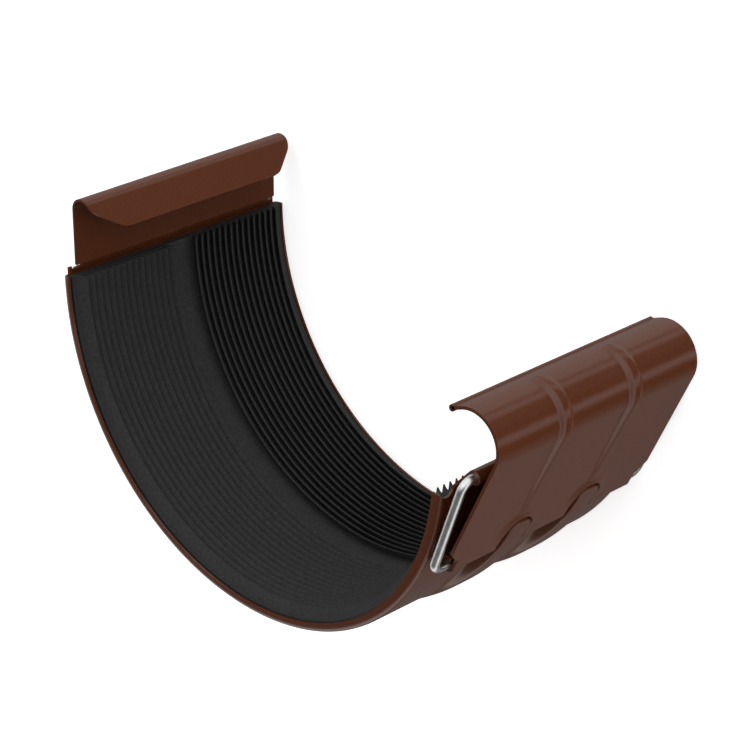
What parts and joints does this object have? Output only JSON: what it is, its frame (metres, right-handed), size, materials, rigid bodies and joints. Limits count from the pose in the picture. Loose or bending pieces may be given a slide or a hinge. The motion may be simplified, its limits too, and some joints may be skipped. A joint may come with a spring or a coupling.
{
  "type": "gutter union",
  "caption": "Half-round gutter union: painted steel band with rubber seal, back hook flange and front toggle lock on a wire link",
  "frame": {"origin": "on the gutter's axis, at the middle of the band's width", "axes": "+Z along the gutter, up as the union stands on its end; +Y towards the wall behind the gutter; +X is up in use, where the union is turned so that the back flange stands upright"},
  "size_m": [0.0863, 0.1417, 0.0698],
  "materials": {
    "painted_sheet": "satin chocolate-brown coating with a fine orange-peel speckle",
    "rubber": "matt black moulded rubber",
    "wire": "bright galvanised wire"
  },
  "bodies": {
    "band_body": {"band": "painted_sheet", "seal": "rubber"},
    "wire_body": {"wire_link": "wire"},
    "lock_body": {"lock_plate": "painted_sheet"}
  },
  "joints": [
    {"name": "wire_swing", "type": "hinge", "parent": "band_body", "child": "wire_body", "pos_m": [-0.00719, -0.06646, 0], "axis": [0, 0, 1], "range_deg": [0, 100]},
    {"name": "plate_swing", "type": "hinge", "parent": "wire_body", "child": "lock_body", "pos_m": [-0.03207, -0.05741, 0], "axis": [0, 0, -1], "range_deg": [0, 90]}
  ]
}
